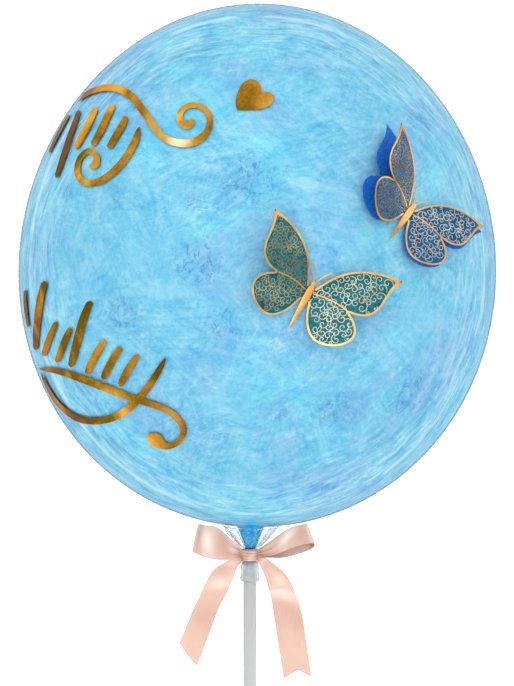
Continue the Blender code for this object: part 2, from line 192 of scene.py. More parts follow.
def close_sides(mesh):
    """Joins points that lie together, fills the open sides of plates, and turns every face outward."""
    shape = bmesh.new()
    shape.from_mesh(mesh)
    bmesh.ops.remove_doubles(shape, verts=shape.verts, dist=MICRON)
    bmesh.ops.holes_fill(shape, edges=shape.edges, sides=0)
    bmesh.ops.recalc_face_normals(shape, faces=shape.faces)
    shape.to_mesh(mesh)
    shape.free()


def closed_ends(grids):
    """Grids that close on themselves across and have an end face at either end, as make() takes them."""
    return [(grid, False, True, True) for grid in grids]


def turned(profile, around, shift=0.0, leaning=False, swell=None):
    """A profile of radius and place along the axis, turned round it, its radius times swell(angle, along)."""
    angle = np.linspace(0, 2 * pi, around, endpoint=False)[None, :]
    radius, along = profile[:, 0:1], profile[:, 1:2]
    if swell is not None:
        radius = radius * swell(angle, along)
    radius = radius + 0 * angle
    grid = np.stack([radius * np.cos(angle) + shift, along + 0 * angle, radius * np.sin(angle)], -1)
    return lean(grid) if leaning else grid


def settle(points, lowest):
    """Presses the underside flat where the balloon lies: points below the lowest height rise to it."""
    height = points[..., 1] * sin(TILT) + points[..., 2] * cos(TILT) + MIDDLE[2]
    lift = np.maximum(lowest - height, 0)[..., None]
    return points + lift * np.array([0, sin(TILT), cos(TILT)])


# Materials

def new_material(name, **values):
    """A material whose shader has these plain values; returns it with its tree and shader."""
    mat = bpy.data.materials.new(name)
    mat.use_nodes = True
    shader = mat.node_tree.nodes["Principled BSDF"]
    for key, value in values.items():
        shader.inputs[key.replace("_", " ")].default_value = value
    return mat, mat.node_tree, shader


def node(tree, kind, values=(), **settings):
    """Adds a node; values maps an input's name or place to a number or to an output that feeds it."""
    made = tree.nodes.new(kind)
    for key, value in settings.items():
        setattr(made, key, value)
    for key, value in dict(values).items():
        if isinstance(value, bpy.types.NodeSocket):
            tree.links.new(value, made.inputs[key])
        else:
            made.inputs[key].default_value = value
    return made


def calc(tree, operation, *values, clamp=False):
    """Output of a math node."""
    return node(tree, "ShaderNodeMath", enumerate(values), operation=operation, use_clamp=clamp).outputs[0]


def times(tree, one, other):
    """Product of two values."""
    return calc(tree, "MULTIPLY", one, other)


def plus(tree, one, other):
    """Sum of two values."""
    return calc(tree, "ADD", one, other)


def scaled(tree, value, factor, added):
    """A value times a factor, plus another value."""
    return calc(tree, "MULTIPLY_ADD", value, factor, added)


def vector_calc(tree, operation, *values):
    """Vector output of a vector math node."""
    return node(tree, "ShaderNodeVectorMath", enumerate(values), operation=operation).outputs[0]


def measure(tree, operation, *values):
    """Single output of a vector math node: a distance or a dot product."""
    return node(tree, "ShaderNodeVectorMath", enumerate(values), operation=operation).outputs["Value"]


def joined(tree, x, y, z):
    """A vector of three values."""
    return node(tree, "ShaderNodeCombineXYZ", {0: x, 1: y, 2: z}).outputs[0]


def separated(tree, vector):
    """The three values of a vector."""
    return node(tree, "ShaderNodeSeparateXYZ", {0: vector}).outputs


def noise(tree, vector, scale, detail=3.0, roughness=0.55, distortion=0.0):
    """Value of a noise texture, about 0.5 on average."""
    shape = {"Scale": scale, "Detail": detail, "Roughness": roughness, "Distortion": distortion}
    return node(tree, "ShaderNodeTexNoise", {"Vector": vector, **shape}).outputs[0]


def level_noise(tree, *values):
    """The same, about 0 on average."""
    return calc(tree, "SUBTRACT", noise(tree, *values), 0.5)


def spread(tree, value, low, high, to_low=0.0, to_high=1.0):
    """Maps low..high to to_low..to_high, smoothly and clamped."""
    values = {0: value, 1: low, 2: high, 3: to_low, 4: to_high}
    return node(tree, "ShaderNodeMapRange", values, interpolation_type="SMOOTHSTEP").outputs[0]


def colours(tree, value, stops):
    """Colour ramp of (place, (r, g, b)) stops."""
    made = node(tree, "ShaderNodeValToRGB", {0: value})
    ramp = made.color_ramp
    while len(ramp.elements) < len(stops):
        ramp.elements.new(0.5)
    for element, (place, colour) in zip(ramp.elements, stops):
        element.position = place
        element.color = (*colour, 1)
    return made.outputs[0]


def blend(tree, share, low, high, kind="MIX"):
    """Mixes two colours by a share."""
    made = node(tree, "ShaderNodeMix", data_type="RGBA", blend_type=kind)
    for place, value in ((0, share), (6, low), (7, high)):
        if isinstance(value, bpy.types.NodeSocket):
            tree.links.new(value, made.inputs[place])
        else:
            made.inputs[place].default_value = value if place == 0 else (*value, 1)
    return made.outputs[2]


def paint(tree, shader, colour):
    """Gives the shader its base colour."""
    tree.links.new(colour, shader.inputs["Base Color"])


def bump(tree, shader, height, strength, distance):
    """Raises the surface's shading by a height value."""
    made = node(tree, "ShaderNodeBump", {"Height": height, "Strength": strength, "Distance": distance})
    tree.links.new(made.outputs[0], shader.inputs["Normal"])


def frame_place(tree):
    """Position in the frame, in metres."""
    return node(tree, "ShaderNodeTexCoord").outputs["Object"]


def own_place(tree):
    """Position in the balloon's own directions about the bubble's middle, in metres."""
    place = vector_calc(tree, "SUBTRACT", frame_place(tree), tuple(MIDDLE * 0.001))
    return node(tree, "ShaderNodeMapping", {"Vector": place, "Rotation": (-TILT, 0, 0)}).outputs[0]


def slant(tree):
    """0 where a surface is seen face on, 1 where it is seen along itself."""
    return node(tree, "ShaderNodeLayerWeight", {"Blend": 0.5}).outputs["Facing"]


def film_material():
    """Thin clear film, faintly uneven: colourless face on, grey-blue where it is seen along its surface."""
    mat, tree, shader = new_material("clear_film", Roughness=0.0, IOR=1.004, Transmission_Weight=1.0)
    along = spread(tree, slant(tree), 0.84, 0.93)
    paint(tree, shader, blend(tree, along, (0.990, 0.997, 1.0), (0.20, 0.31, 0.40)))
    bump(tree, shader, noise(tree, frame_place(tree), 9.0, 2.0), 0.15, 0.002)
    return mat


def gathered_film_material():
    """The same film where it is bunched up at the neck: whitish, with soft streaks down the pleats."""
    mat, tree, shader = new_material("gathered_film", Roughness=0.03, IOR=1.18, Transmission_Weight=0.99)
    pleat = noise(tree, vector_calc(tree, "MULTIPLY", frame_place(tree), (420.0, 60.0, 420.0)), 1.0, 3.0)
    paint(tree, shader, colours(tree, pleat, [(0.36, (0.88, 0.88, 0.92)), (0.60, (1.00, 1.00, 1.00))]))
    bump(tree, shader, pleat, 0.3, 0.001)
    return mat


# The latex's brushings: direction in degrees, how fine they are along it and across it, and a shift
BRUSHINGS = [
    (-35.0, 28.0, 210.0, 3.1), (50.0, 30.0, 240.0, 7.7), (-72.0, 34.0, 260.0, 12.9),
    (8.0, 26.0, 230.0, 19.3), (-20.0, 40.0, 330.0, 26.2),
]
# Its dark smudges: place in the balloon's own directions, and reach
SMUDGES = [
    ((137, -112, 142), 34), ((65, -123, 176), 28), ((-54, 3, 221), 30),
    ((-120, -45, 187), 24), ((-30, -49, 216), 22), ((-6, 76, 211), 36),
]
NECK_OFF_MIDDLE = 0.0066


class LatexPattern:
    """Places on the latex and the marks that are drawn by them.

    flat_x and flat_a are shares of the ball's half width and half length, across is how far out
    they lie from the front's middle, 1 at the rim, and polar is the same as an angle.
    """

    def __init__(self, tree):
        """Works the places out once for all the marks."""
        self.tree = tree
        self.place = own_place(tree)
        self.x, self.a, self.f = separated(tree, self.place)
        self.flat_x = calc(tree, "DIVIDE", self.x, BALL_RADIUS * 0.001)
        self.flat_a = calc(tree, "DIVIDE", self.a, HALF_LENGTH * 0.001)
        squares = plus(tree, times(tree, self.flat_x, self.flat_x), times(tree, self.flat_a, self.flat_a))
        self.across = calc(tree, "SQRT", squares)
        self.polar = calc(tree, "ARCTAN2", self.across, calc(tree, "DIVIDE", self.f, BALL_RADIUS * 0.001))
        self.warp = noise(tree, self.place, 7.0, 2.0)

    def patches(self, scale, shift, detail=2.0):
        """Broad uneven patches."""
        moved = vector_calc(self.tree, "ADD", self.place, (shift, 1.7 * shift, 0.6 * shift))
        return noise(self.tree, moved, scale, detail, 0.6)

    def ring_streaks(self, turns, fine, detail, shift):
        """Streaks that run round the front's middle, about 0 on average."""
        tree = self.tree
        across = calc(tree, "MAXIMUM", self.across, 0.002)
        ring_x = times(tree, calc(tree, "DIVIDE", self.flat_x, across), turns)
        ring_a = times(tree, calc(tree, "DIVIDE", self.flat_a, across), turns)
        wavy = scaled(tree, self.warp, 0.30, self.polar)
        ring = joined(tree, ring_x, ring_a, scaled(tree, wavy, fine, shift))
        return level_noise(tree, ring, 1.0, detail, 0.65)

    def strokes(self, degrees, long, fine, shift):
        """Short, slightly bent brush strokes that run one way, in patches, about 0 on average."""
        tree = self.tree
        turn = node(tree, "ShaderNodeMapping", {"Vector": self.place, "Rotation": (0, 0, radians(degrees))})
        along, square, depth = separated(tree, turn.outputs[0])
        bent = scaled(tree, self.warp, 0.06, square)
        start = scaled(tree, along, long, shift)
        line = joined(tree, start, times(tree, bent, fine), times(tree, depth, long))
        stroke = level_noise(tree, line, 1.0, 4.0, 0.66, 0.25)
        return times(tree, stroke, spread(tree, self.patches(12.0, shift), 0.44, 0.56))


def latex_tone(tree, pattern, fine):
    """Light and dark: brushings in the middle, streaks towards the rim, clouds and a fine grain all over."""
    near_rim = spread(tree, scaled(tree, pattern.warp, 0.5, pattern.polar), 0.98, 1.42)
    rim = times(tree, pattern.ring_streaks(7.0, 30.0, 4.0, 0.0), 0.6)
    rim = scaled(tree, pattern.ring_streaks(11.0, 62.0, 4.0, 31.0), 0.65, rim)
    rim = times(tree, rim, scaled(tree, near_rim, 0.95, 0.10))
    brushed = 0.0
    for brushing in BRUSHINGS:
        brushed = plus(tree, brushed, pattern.strokes(*brushing))
    brushed = times(tree, brushed, calc(tree, "SUBTRACT", 1.0, times(tree, near_rim, 0.8)))
    tone = scaled(tree, level_noise(tree, pattern.place, 30.0, 6.0, 0.68, 1.0), 0.36, 0.5)
    tone = scaled(tree, fine, 0.20, tone)
    tone = plus(tree, times(tree, brushed, 0.25), tone)
    return plus(tree, rim, tone)


def latex_patches(tree, pattern, base):
    """Patches of lilac and cyan, pale veins, and dark smudges with darker flecks in them."""
    lilac = times(tree, spread(tree, pattern.patches(10.0, 33.4, 4.0), 0.48, 0.64), 0.6)
    base = blend(tree, lilac, base, (1.04, 0.80, 0.95), "MULTIPLY")
    cyan = times(tree, spread(tree, pattern.patches(13.0, 41.8, 5.0), 0.50, 0.64), 0.8)
    base = blend(tree, cyan, base, (0.86, 1.10, 1.05), "MULTIPLY")
    ridge = calc(tree, "ABSOLUTE", level_noise(tree, pattern.place, 21.0, 4.0, 0.62, 0.6))
    vein = times(tree, spread(tree, ridge, 0.010, 0.0), spread(tree, pattern.patches(15.0, 48.3), 0.46, 0.60))
    base = blend(tree, times(tree, vein, 0.45), base, (0.460, 0.720, 0.830))
    smudge = spread(tree, pattern.patches(9.0, 52.6), 0.56, 0.72, 0.0, 0.6)
    for spot, reach in SMUDGES:
        gap = measure(tree, "DISTANCE", pattern.place, tuple(0.001 * v for v in spot))
        smudge = calc(tree, "MAXIMUM", smudge, spread(tree, gap, reach * 0.001, reach * 0.0004))
    base = blend(tree, times(tree, smudge, 0.55), base, (0.78, 0.83, 0.93), "MULTIPLY")
    fleck = noise(tree, vector_calc(tree, "MULTIPLY", pattern.place, (1.0, 0.6, 0.8)), 250.0, 3.0, 0.7, 0.8)
    fleck = times(tree, spread(tree, fleck, 0.52, 0.61), smudge)
    return blend(tree, times(tree, fleck, 0.75), base, (0.055, 0.235, 0.490))


def latex_rim(tree, pattern, base):
    """Milky streaks towards the rim, the latex's own, that also paint light there; painted shade in a band
    along the rim; and broken arcs of painted reflection where the band begins.
    """
    across = pattern.across
    # The latex's own streaks, paler towards the rim: partly painted light there.
    streaks_and_painted_brightness = spread(tree, pattern.ring_streaks(3.0, 34.0, 4.0, 77.0), 0.0, 0.16)
    streaks_and_painted_brightness = times(tree, streaks_and_painted_brightness, spread(tree, across, 0.70, 0.90))
    base = blend(tree, times(tree, streaks_and_painted_brightness, 0.36), base, (0.500, 0.700, 0.810))
    # Painted shade: a darker band along the rim.
    band = spread(tree, across, 0.925, 0.945)
    base = blend(tree, times(tree, band, 0.65), base, (0.66, 0.84, 0.89), "MULTIPLY")
    # Painted reflection: broken pale arcs where the band begins.
    painted_rim_reflection = times(tree, spread(tree, across, 0.918, 0.926), spread(tree, across, 0.942, 0.930))
    painted_rim_reflection = times(tree, painted_rim_reflection, spread(tree, pattern.ring_streaks(2.0, 3.0, 3.0, 5.0), -0.06, 0.06))
    return blend(tree, times(tree, painted_rim_reflection, 0.5), base, (0.560, 0.760, 0.830))


def latex_neck(tree, pattern, fine, base):
    """The deep blue of the narrow neck, and of the short pull above it at the front."""
    neck = spread(tree, pattern.a, -0.2495, -0.2525)
    aside = calc(tree, "ABSOLUTE", plus(tree, pattern.x, NECK_OFF_MIDDLE))
    pull = times(tree, spread(tree, aside, 0.009, 0.002), spread(tree, pattern.a, -0.233, -0.243))
    pull = times(tree, pull, spread(tree, pattern.f, 0.0, 0.01))
    deep = calc(tree, "MAXIMUM", neck, times(tree, pull, 0.9))
    blue = [(0.42, (0.001, 0.260, 0.660)), (0.58, (0.020, 0.560, 0.920))]
    return blend(tree, deep, base, colours(tree, plus(tree, fine, 0.5), blue))


def latex_material():
    """Blue latex, brushed, with its patches, its rim's streaks, painted shade and painted reflection, and its
    deeper neck.
    """
    mat, tree, shader = new_material("blue_latex", Roughness=0.5, Specular_IOR_Level=0.2)
    pattern = LatexPattern(tree)
    fine = level_noise(tree, pattern.place, 260.0, 3.0, 0.65, 1.0)
    tone = latex_tone(tree, pattern, fine)
    base = colours(tree, tone, [
        (0.33, (0.058, 0.315, 0.565)), (0.43, (0.112, 0.435, 0.650)), (0.50, (0.170, 0.505, 0.690)),
        (0.57, (0.245, 0.575, 0.720)), (0.68, (0.410, 0.670, 0.760)),
    ])
    base = latex_rim(tree, pattern, latex_patches(tree, pattern, base))
    paint(tree, shader, latex_neck(tree, pattern, fine, base))
    bump(tree, shader, tone, 0.12, 0.001)
    return mat


FOIL_GOLD = [(0.34, (0.12, 0.072, 0.004)), (0.5, (0.42, 0.190, 0.018)), (0.62, (0.60, 0.320, 0.055))]
RIM_GOLD = [(0.34, (0.50, 0.22, 0.045)), (0.5, (0.76, 0.38, 0.105)), (0.66, (0.92, 0.56, 0.20))]
# Lit and shaded copies of the curls' gold: painted light for the right wings, painted shade for the left
LIT_CURL_GOLD = [(0.34, (0.48, 0.41, 0.25)), (0.5, (0.64, 0.57, 0.38)), (0.66, (0.80, 0.73, 0.54))]
SHADED_CURL_GOLD = [(0.34, (0.24, 0.16, 0.05)), (0.5, (0.40, 0.28, 0.10)), (0.66, (0.60, 0.46, 0.20))]
# Middle of the gold foil's painted highlight, in the balloon's own directions, in metres
PAINTED_HIGHLIGHT_SPOT = (-0.070, 0.111, 0.187)


def gold_material(name, roughness, stops, painted_highlight=0.0):
    """Gold foil, slightly crinkled, with painted shade at the far left and as much of a painted highlight as
    painted_highlight says.
    """
    mat, tree, shader = new_material(name, Metallic=0.8, Roughness=roughness, Specular_IOR_Level=0.15)
    shader.inputs["Specular Tint"].default_value = (0.50, 0.34, 0.12, 1)
    place = own_place(tree)
    x = separated(tree, place)[0]
    grain = noise(tree, place, 320.0, 3.0)
    tone = noise(tree, place, 22.0, 2.0, 0.5, 0.6)
    tone = scaled(tree, calc(tree, "SUBTRACT", grain, 0.5), 0.20, tone)
    # Painted shade: darker towards the far left.
    tone = plus(tree, tone, spread(tree, x, -0.215, -0.12, -0.19, 0.0))
    # Painted highlight: pale round one spot, as strong as painted_highlight says.
    spot = spread(tree, measure(tree, "DISTANCE", place, PAINTED_HIGHLIGHT_SPOT), 0.018, 0.003)
    paint(tree, shader, blend(tree, times(tree, spot, painted_highlight), colours(tree, tone, stops), (0.86, 0.70, 0.40)))
    bump(tree, shader, grain, 0.08, 0.0003)
    return mat


def foil_material(name, dark, light):
    """Metallic coloured foil with a fine mottle."""
    mat, tree, shader = new_material(name, Metallic=0.35, Specular_IOR_Level=0.15)
    mottle = noise(tree, frame_place(tree), 170.0, 5.0, 0.65)
    paint(tree, shader, colours(tree, mottle, [(0.36, dark), (0.64, light)]))
    tree.links.new(spread(tree, mottle, 0.3, 0.7, 0.32, 0.5), shader.inputs["Roughness"])
    return mat


def card_material():
    """Deep blue card with a fine glitter grain."""
    mat, tree, shader = new_material("blue_card", Roughness=0.7, IOR=1.25)
    grain = noise(tree, frame_place(tree), 900.0, 4.0, 0.75)
    blue = [(0.38, (0.003, 0.06, 0.34)), (0.52, (0.006, 0.13, 0.58)), (0.70, (0.03, 0.26, 0.80))]
    paint(tree, shader, colours(tree, grain, blue))
    bump(tree, shader, grain, 0.5, 0.0004)
    return mat


def satin_material():
    """Peach satin: fine threads along the ribbon, soft changes of tone, and the mesh's painted highlights and
    painted shade.
    """
    sheen = {"Sheen_Weight": 0.15, "Sheen_Roughness": 0.4}
    mat, tree, shader = new_material("satin", Roughness=0.27, IOR=1.85, **sheen)
    run = node(tree, "ShaderNodeUVMap", uv_map="run").outputs[0]
    along, across, _ = separated(tree, run)
    thread = noise(tree, joined(tree, times(tree, along, 60.0), times(tree, across, 2600.0), 0.0), 1.0, 3.0)
    tone = scaled(tree, noise(tree, run, 14.0, 1.0), 0.6, times(tree, thread, 0.4))
    peach = [(0.36, (0.66, 0.39, 0.29)), (0.5, (0.71, 0.44, 0.34)), (0.64, (0.75, 0.50, 0.40))]
    # Painted light per point: above 0 mixes in a painted highlight colour, below 0 a painted shade colour
    painted_light = node(tree, "ShaderNodeAttribute", attribute_name="painted_light").outputs["Fac"]
    lit = calc(tree, "MAXIMUM", painted_light, 0.0, clamp=True)
    base = blend(tree, lit, colours(tree, tone, peach), (0.86, 0.69, 0.60))
    shaded = calc(tree, "MULTIPLY", painted_light, -1.0, clamp=True)
    paint(tree, shader, blend(tree, shaded, base, (0.46, 0.22, 0.15)))
    bump(tree, shader, thread, 0.06, 0.0003)
    return mat


def plastic_material(name, roughness, tint, clearness):
    """Clear plastic, faintly streaked, darker at its edges, with painted shade under the ribbon and painted
    light down its right side.
    """
    mat, tree, shader = new_material(name, Roughness=roughness, IOR=1.45, Transmission_Weight=clearness)
    edge = tuple(0.62 * part for part in tint)
    base = blend(tree, spread(tree, slant(tree), 0.45, 0.85), tint, edge)
    x, a, _ = separated(tree, own_place(tree))
    # Painted shade at the cup's top, under the ribbon.
    under = spread(tree, a, -0.0005 * (CUP_TOP + CUP_BOTTOM), -0.001 * (CUP_TOP + 1.0))
    base = blend(tree, times(tree, under, 0.75), base, (0.42, 0.46, 0.48))
    # Painted light down the right side.
    side = spread(tree, x, 0.001 * (KNOT[0] + 1.0), 0.001 * (KNOT[0] + STICK_RADIUS))
    paint(tree, shader, blend(tree, times(tree, side, 0.35), base, (0.98, 0.98, 0.98)))
    flow = vector_calc(tree, "MULTIPLY", frame_place(tree), (900.0, 20.0, 900.0))
    bump(tree, shader, noise(tree, flow, 1.0, 2.0), 0.15, 0.0005)
    return mat


# Bubble and the balloon inside it

FILM_WALL = 0.3
LATEX_INSET = 1.3
CROWN_ANGLE = pi / 2 - 0.004
FUNNEL_ANGLE = -1.415
PLEATS_TOP = -250.5
PLEATS_GROWTH = 9.0
GATHERED_BELOW = -251.0
KNOT_TOP = -271.2
LATEX_NECK_TOP = -252.0
LATEX_NECK_GROWTH = 16.0


def ball_profile(inset, count):
    """Radius and place of the ball from the crown down, drawn in by an inset, ending near the pole."""
    angle = np.linspace(CROWN_ANGLE, FUNNEL_ANGLE, count)
    along = HALF_LENGTH * np.sin(angle)
    radius = ball_radius(along)
    scale = (BALL_RADIUS - inset) / BALL_RADIUS
    return np.stack([radius * scale, along * (HALF_LENGTH - inset) / HALF_LENGTH], -1)


def film_profile(inset):
    """The film's whole profile, with the funnel of the neck and its gathered end in the cup."""
    ball = ball_profile(inset, 120)
    crease = [tuple(ball[-1]), (31.0, -248.35), (28.4, -249.2), (27.0, -250.2), (25.7, -251.6)]
    neck = [(25.7, -251.6), (22.9, -254.9), (18.9, -259.5), (14.9, -264.0), (11.5, -267.7), (8.6, -269.8)]
    neck += [(6.2, -270.9), (4.5, -271.6), (4.35, -273.0), (4.35, -277.0), (4.35, -282.0), (4.4, -288.2)]
    crease, neck = smooth_line(crease, 14), smooth_line(neck, 56)[1:]
    crease[1:, 0] -= inset
    neck[:, 0] -= inset
    return np.concatenate([ball[:-1], crease, neck])


def pleats(angle, along):
    """Gathers of the film: 1 plus two cosines round it, growing down the funnel and shallow in the knot."""
    grow = np.clip((PLEATS_TOP - along) / PLEATS_GROWTH, 0, 1)
    fold = np.cos(13 * angle + 1.1 * np.sin(2 * angle)) + 0.5 * np.cos(21 * angle + 2.0)
    return 1 + grow * fold * np.where(along < KNOT_TOP, 0.02, 0.085)


def make_film(mat, neck_mat):
    """The clear film: its profile turned round the axis, as two walls joined at the neck's end."""
    outer, inner = (
        settle(turned(film_profile(inset), FILM_SEGMENTS, leaning=True, swell=pleats), inset)
        for inset in (0.0, FILM_WALL)
    )
    wall = np.concatenate([outer, inner[::-1]])
    obj = make("bubble_film", closed_ends([wall]), mat)
    obj.data.materials.append(neck_mat)
    gathered = wall[:-1, :, 1].mean(1) < GATHERED_BELOW
    finish = np.zeros(len(obj.data.polygons), dtype=np.int32)
    finish[:gathered.size * FILM_SEGMENTS] = np.repeat(gathered, FILM_SEGMENTS)
    obj.data.polygons.foreach_set("material_index", finish)
    return obj


def make_latex(mat):
    """The blue balloon: the film's ball drawn in a little, with a narrow neck of its own down to the cup."""
    ball = ball_profile(LATEX_INSET, 120)
    neck = [tuple(ball[-6]), tuple(ball[-1]), (26.0, -248.2), (18.0, -249.2), (14.0, -250.1), (12.6, -251.6)]
    neck += [(11.3, -255.0), (9.4, -260.0), (7.4, -265.0), (5.7, -269.0), (3.9, -271.4), (3.1, -274.0)]
    neck += [(3.0, -280.0), (2.9, -286.0)]
    profile = np.concatenate([ball[:-6], smooth_line(neck, 70)])

    def swell(angle, along):
        """Slight gathers: 1 plus a cosine round the neck that grows down it."""
        grow = np.clip((LATEX_NECK_TOP - along) / LATEX_NECK_GROWTH, 0, 1)
        return 1 + 0.07 * grow * np.cos(5 * angle + 0.7)

    grid = settle(turned(profile, LATEX_SEGMENTS, leaning=True, swell=swell), LATEX_INSET - 0.1)
    return make("inner_balloon", closed_ends([grid]), mat)


# Cup and stick

def make_turned(name, profile, mat, around=96):
    """A closed ring turned about the stick's axis."""
    profile = np.array(profile, float)
    profile[:, 1] *= -1
    return make(name, [(turned(profile, around, shift=KNOT[0]), True, True, False)], mat, sharp=40)


def cup_profile():
    """Outer wall with a rounded shoulder and rim, the stick's socket, the web and the neck's recess."""
    shoulder = [(5.9, CUP_TOP), (7.5, 284.7), (8.4, 287.0), (8.8, 290.5)]
    rim = [(8.8, 295.0), (8.9, 298.2), (9.3, 300.2), (9.2, 302.2), (8.5, CUP_BOTTOM)]
    socket = [(7.55, CUP_BOTTOM), (6.55, 299.7), (6.55, 290.9)]
    recess = [(3.0, 290.9), (3.0, 289.2), (5.0, 289.2), (5.0, CUP_TOP)]
    return np.concatenate([smooth_line(shoulder + rim, 44), socket, recess])


def stick_profile():
    """The tube's outer and inner walls with slightly rounded ends."""
    outside, bore = STICK_RADIUS, STICK_RADIUS - STICK_WALL
    first, last = STICK_TOP + 0.3, STICK_END - 0.3
    outer = [(outside - 0.2, STICK_TOP), (outside, first), (outside, last), (outside - 0.2, STICK_END)]
    return outer + [(bore + 0.2, STICK_END), (bore, last), (bore, first), (bore + 0.2, STICK_TOP)]


# Ribbon

RIBBON_WIDTH = 26.0
RIBBON_HALF = 0.175
NOTCH_ROWS = 12
RIGHT_NOTCH = 10.0
KNOT_LOW = -6.6
KNOT_HIGH = 5.0
KNOT_RADIUS = 8.7
KNOT_HOLE = 4.85

# Pairs of edges: (right, towards the crown, front) from the knot's middle
LEFT_LOOP = (
    [(-5.6, 3.3, 3.6), (-17, 13.9, 9), (-30.4, 26.0, 12), (-44, 28.4, 8.5), (-48.3, 28.2, 0.5),
     (-44, 27.2, -7), (-30, 20.5, -9.5), (-17, 11, -7.5), (-5.6, 2.6, -3.6)],
    [(-5.6, -2.9, 3.6), (-19, -4.8, 9), (-36.2, -3.8, 12), (-51.5, 1.2, 8.5), (-56.3, 3.3, 0.5),
     (-51.5, 2.5, -7), (-36, -2, -9.5), (-19, -4, -7.5), (-5.6, -2.8, -3.6)],
)
RIGHT_LOOP = (
    [(5.6, 3.3, 3.6), (17.4, 11.5, 9), (36.6, 25.4, 13), (52, 29.5, 9), (56, 29.7, 0.5),
     (51, 27.5, -7.5), (34, 19, -10), (17, 9.5, -7.5), (5.6, 2, -3.6)],
    [(5.6, -1.9, 3.6), (21.2, -0.5, 9), (38.5, 6.2, 13), (55, 10.5, 9), (61, 9.5, 0.5),
     (57.5, 3.2, -7.5), (34, -4.2, -10), (18, -4.3, -7.5), (5.6, -3.6, -3.6)],
)
LEFT_TAIL = (
    [(-5.2, -1.6, 5.0), (-12, -3.2, 6.5), (-22.8, -6.7, 7), (-37.7, -18.8, 5),
     (-52.2, -50.0, -12), (-68.5, -90.1, -42)],
    [(-5.0, -4.4, 4.6), (-8.6, -8.0, 6), (-12.6, -13.5, 6.5), (-18, -27.8, 3),
     (-30.8, -56.5, -16), (-51.7, -114.1, -52)],
)
RIGHT_TAIL = (
    [(5.2, -1.6, 5.0), (11, -2.6, 6.5), (17.7, -4.8, 7.5), (36.6, -22.6, 5),
     (49, -55.2, -12), (60.4, -125.4, -52)],
    [(5.0, -4.4, 4.6), (7.4, -7.6, 6), (10.1, -10.5, 6.5), (16.5, -26.8, 3),
     (21.7, -51.3, -12), (33.4, -128.0, -54)],
)

# Bands of painted highlight (strength above 0) and painted shade (below 0): (along, across, reach along,
# reach across, strength, slant)
LEFT_LOOP_PAINTED_LIGHT = [
    (0.31, 0.45, 0.045, 0.45, 0.9, -0.10), (0.18, 0.50, 0.045, 0.60, -0.35, -0.1),
    (0.42, 0.50, 0.040, 0.80, -0.15, 0.0), (0.10, 0.35, 0.040, 0.25, 0.45, 0.0),
    (0.04, 0.70, 0.030, 0.35, -0.6, 0.0),
]
RIGHT_LOOP_PAINTED_LIGHT = [
    (0.22, 0.35, 0.050, 0.33, 1.0, -0.14), (0.34, 0.40, 0.050, 0.60, -0.30, 0.0),
    (0.44, 0.50, 0.035, 0.70, 0.50, 0.0), (0.12, 0.75, 0.060, 0.30, -0.35, 0.0),
    (0.04, 0.70, 0.030, 0.35, -0.6, 0.0),
]
LEFT_TAIL_PAINTED_LIGHT = [
    (0.64, 0.45, 0.055, 0.55, 0.55, -0.06), (0.82, 0.50, 0.090, 0.90, -0.28, 0.0),
    (0.50, 0.35, 0.060, 0.35, -0.25, 0.0), (0.36, 0.45, 0.080, 0.30, 0.45, 0.0),
    (0.08, 0.60, 0.060, 0.50, -0.5, 0.0),
]
RIGHT_TAIL_PAINTED_LIGHT = [
    (0.72, 0.50, 0.050, 0.65, 0.85, 0.0), (0.60, 0.45, 0.045, 0.30, 0.55, 0.0),
    (0.84, 0.50, 0.070, 0.90, -0.30, 0.0), (0.48, 0.50, 0.070, 0.60, -0.30, 0.0),
    (0.34, 0.45, 0.070, 0.25, 0.35, 0.0), (0.08, 0.60, 0.060, 0.50, -0.5, 0.0),
]


def ribbon_sheet(edges, rows, columns, gather, painted_bands, notch=0.0, inner=None):
    """A closed strip between two edges: straight across, plus folds that fade away from the knot.

    Its painted light is a sum of bell-shaped bands of painted highlight and painted shade, and the side that
    faces into a loop (inner 0 or 1) gets painted shade.
    A notch is cut into its end, deepest halfway across. Returns the strip, its UV places and its painted
    light.
    """
    edge_a, edge_b = smooth_line(edges[0], rows), smooth_line(edges[1], rows)
    share = np.linspace(0, 1, columns)[None, :, None]
    grid = edge_a[:, None] * (1 - share) + edge_b[:, None] * share
    if notch:
        back = grid[-2] - grid[-1]
        back /= np.linalg.norm(back, axis=1, keepdims=True)
        reach = notch * (1 - np.abs(2 * share[0] - 1))
        rest = np.clip((np.arange(rows) - (rows - NOTCH_ROWS)) / (NOTCH_ROWS - 1.0), 0, 1)[:, None, None]
        grid = grid + back[None] * reach[None] * rest
    along, across = np.linspace(0, 1, rows)[:, None], share[..., 0]
    normal = np.cross(np.gradient(grid, axis=0), np.gradient(grid, axis=1))
    normal /= np.linalg.norm(normal, axis=2, keepdims=True) + 1e-9
    grid = grid + normal * gather(along, across)[..., None]
    ring = np.concatenate([grid + normal * RIBBON_HALF, (grid - normal * RIBBON_HALF)[:, ::-1]], axis=1)
    run = np.cumsum(np.concatenate([[0], np.linalg.norm(np.diff(grid.mean(1), axis=0), axis=1)])) * 0.001
    uv = np.stack(np.broadcast_arrays(run[:, None], across * RIBBON_WIDTH * 0.001), -1)
    uv = np.concatenate([uv, uv[:, ::-1]], axis=1).reshape(-1, 2)
    painted_light = np.zeros((rows, columns))
    for row, column, reach, reach_across, strength, lean_over in painted_bands:
        off = along - row - lean_over * (across - 0.5)
        painted_light += strength * np.exp(-((off / reach) ** 2) - ((across - column) / reach_across) ** 2)
    shade = [painted_light, painted_light]
    if inner is not None:
        # The side that faces into the loop gets painted shade.
        shade[inner] = painted_light * 0.2 - 1.0
    return ring + KNOT, uv, np.concatenate([shade[0], shade[1][:, ::-1]], axis=1).ravel()


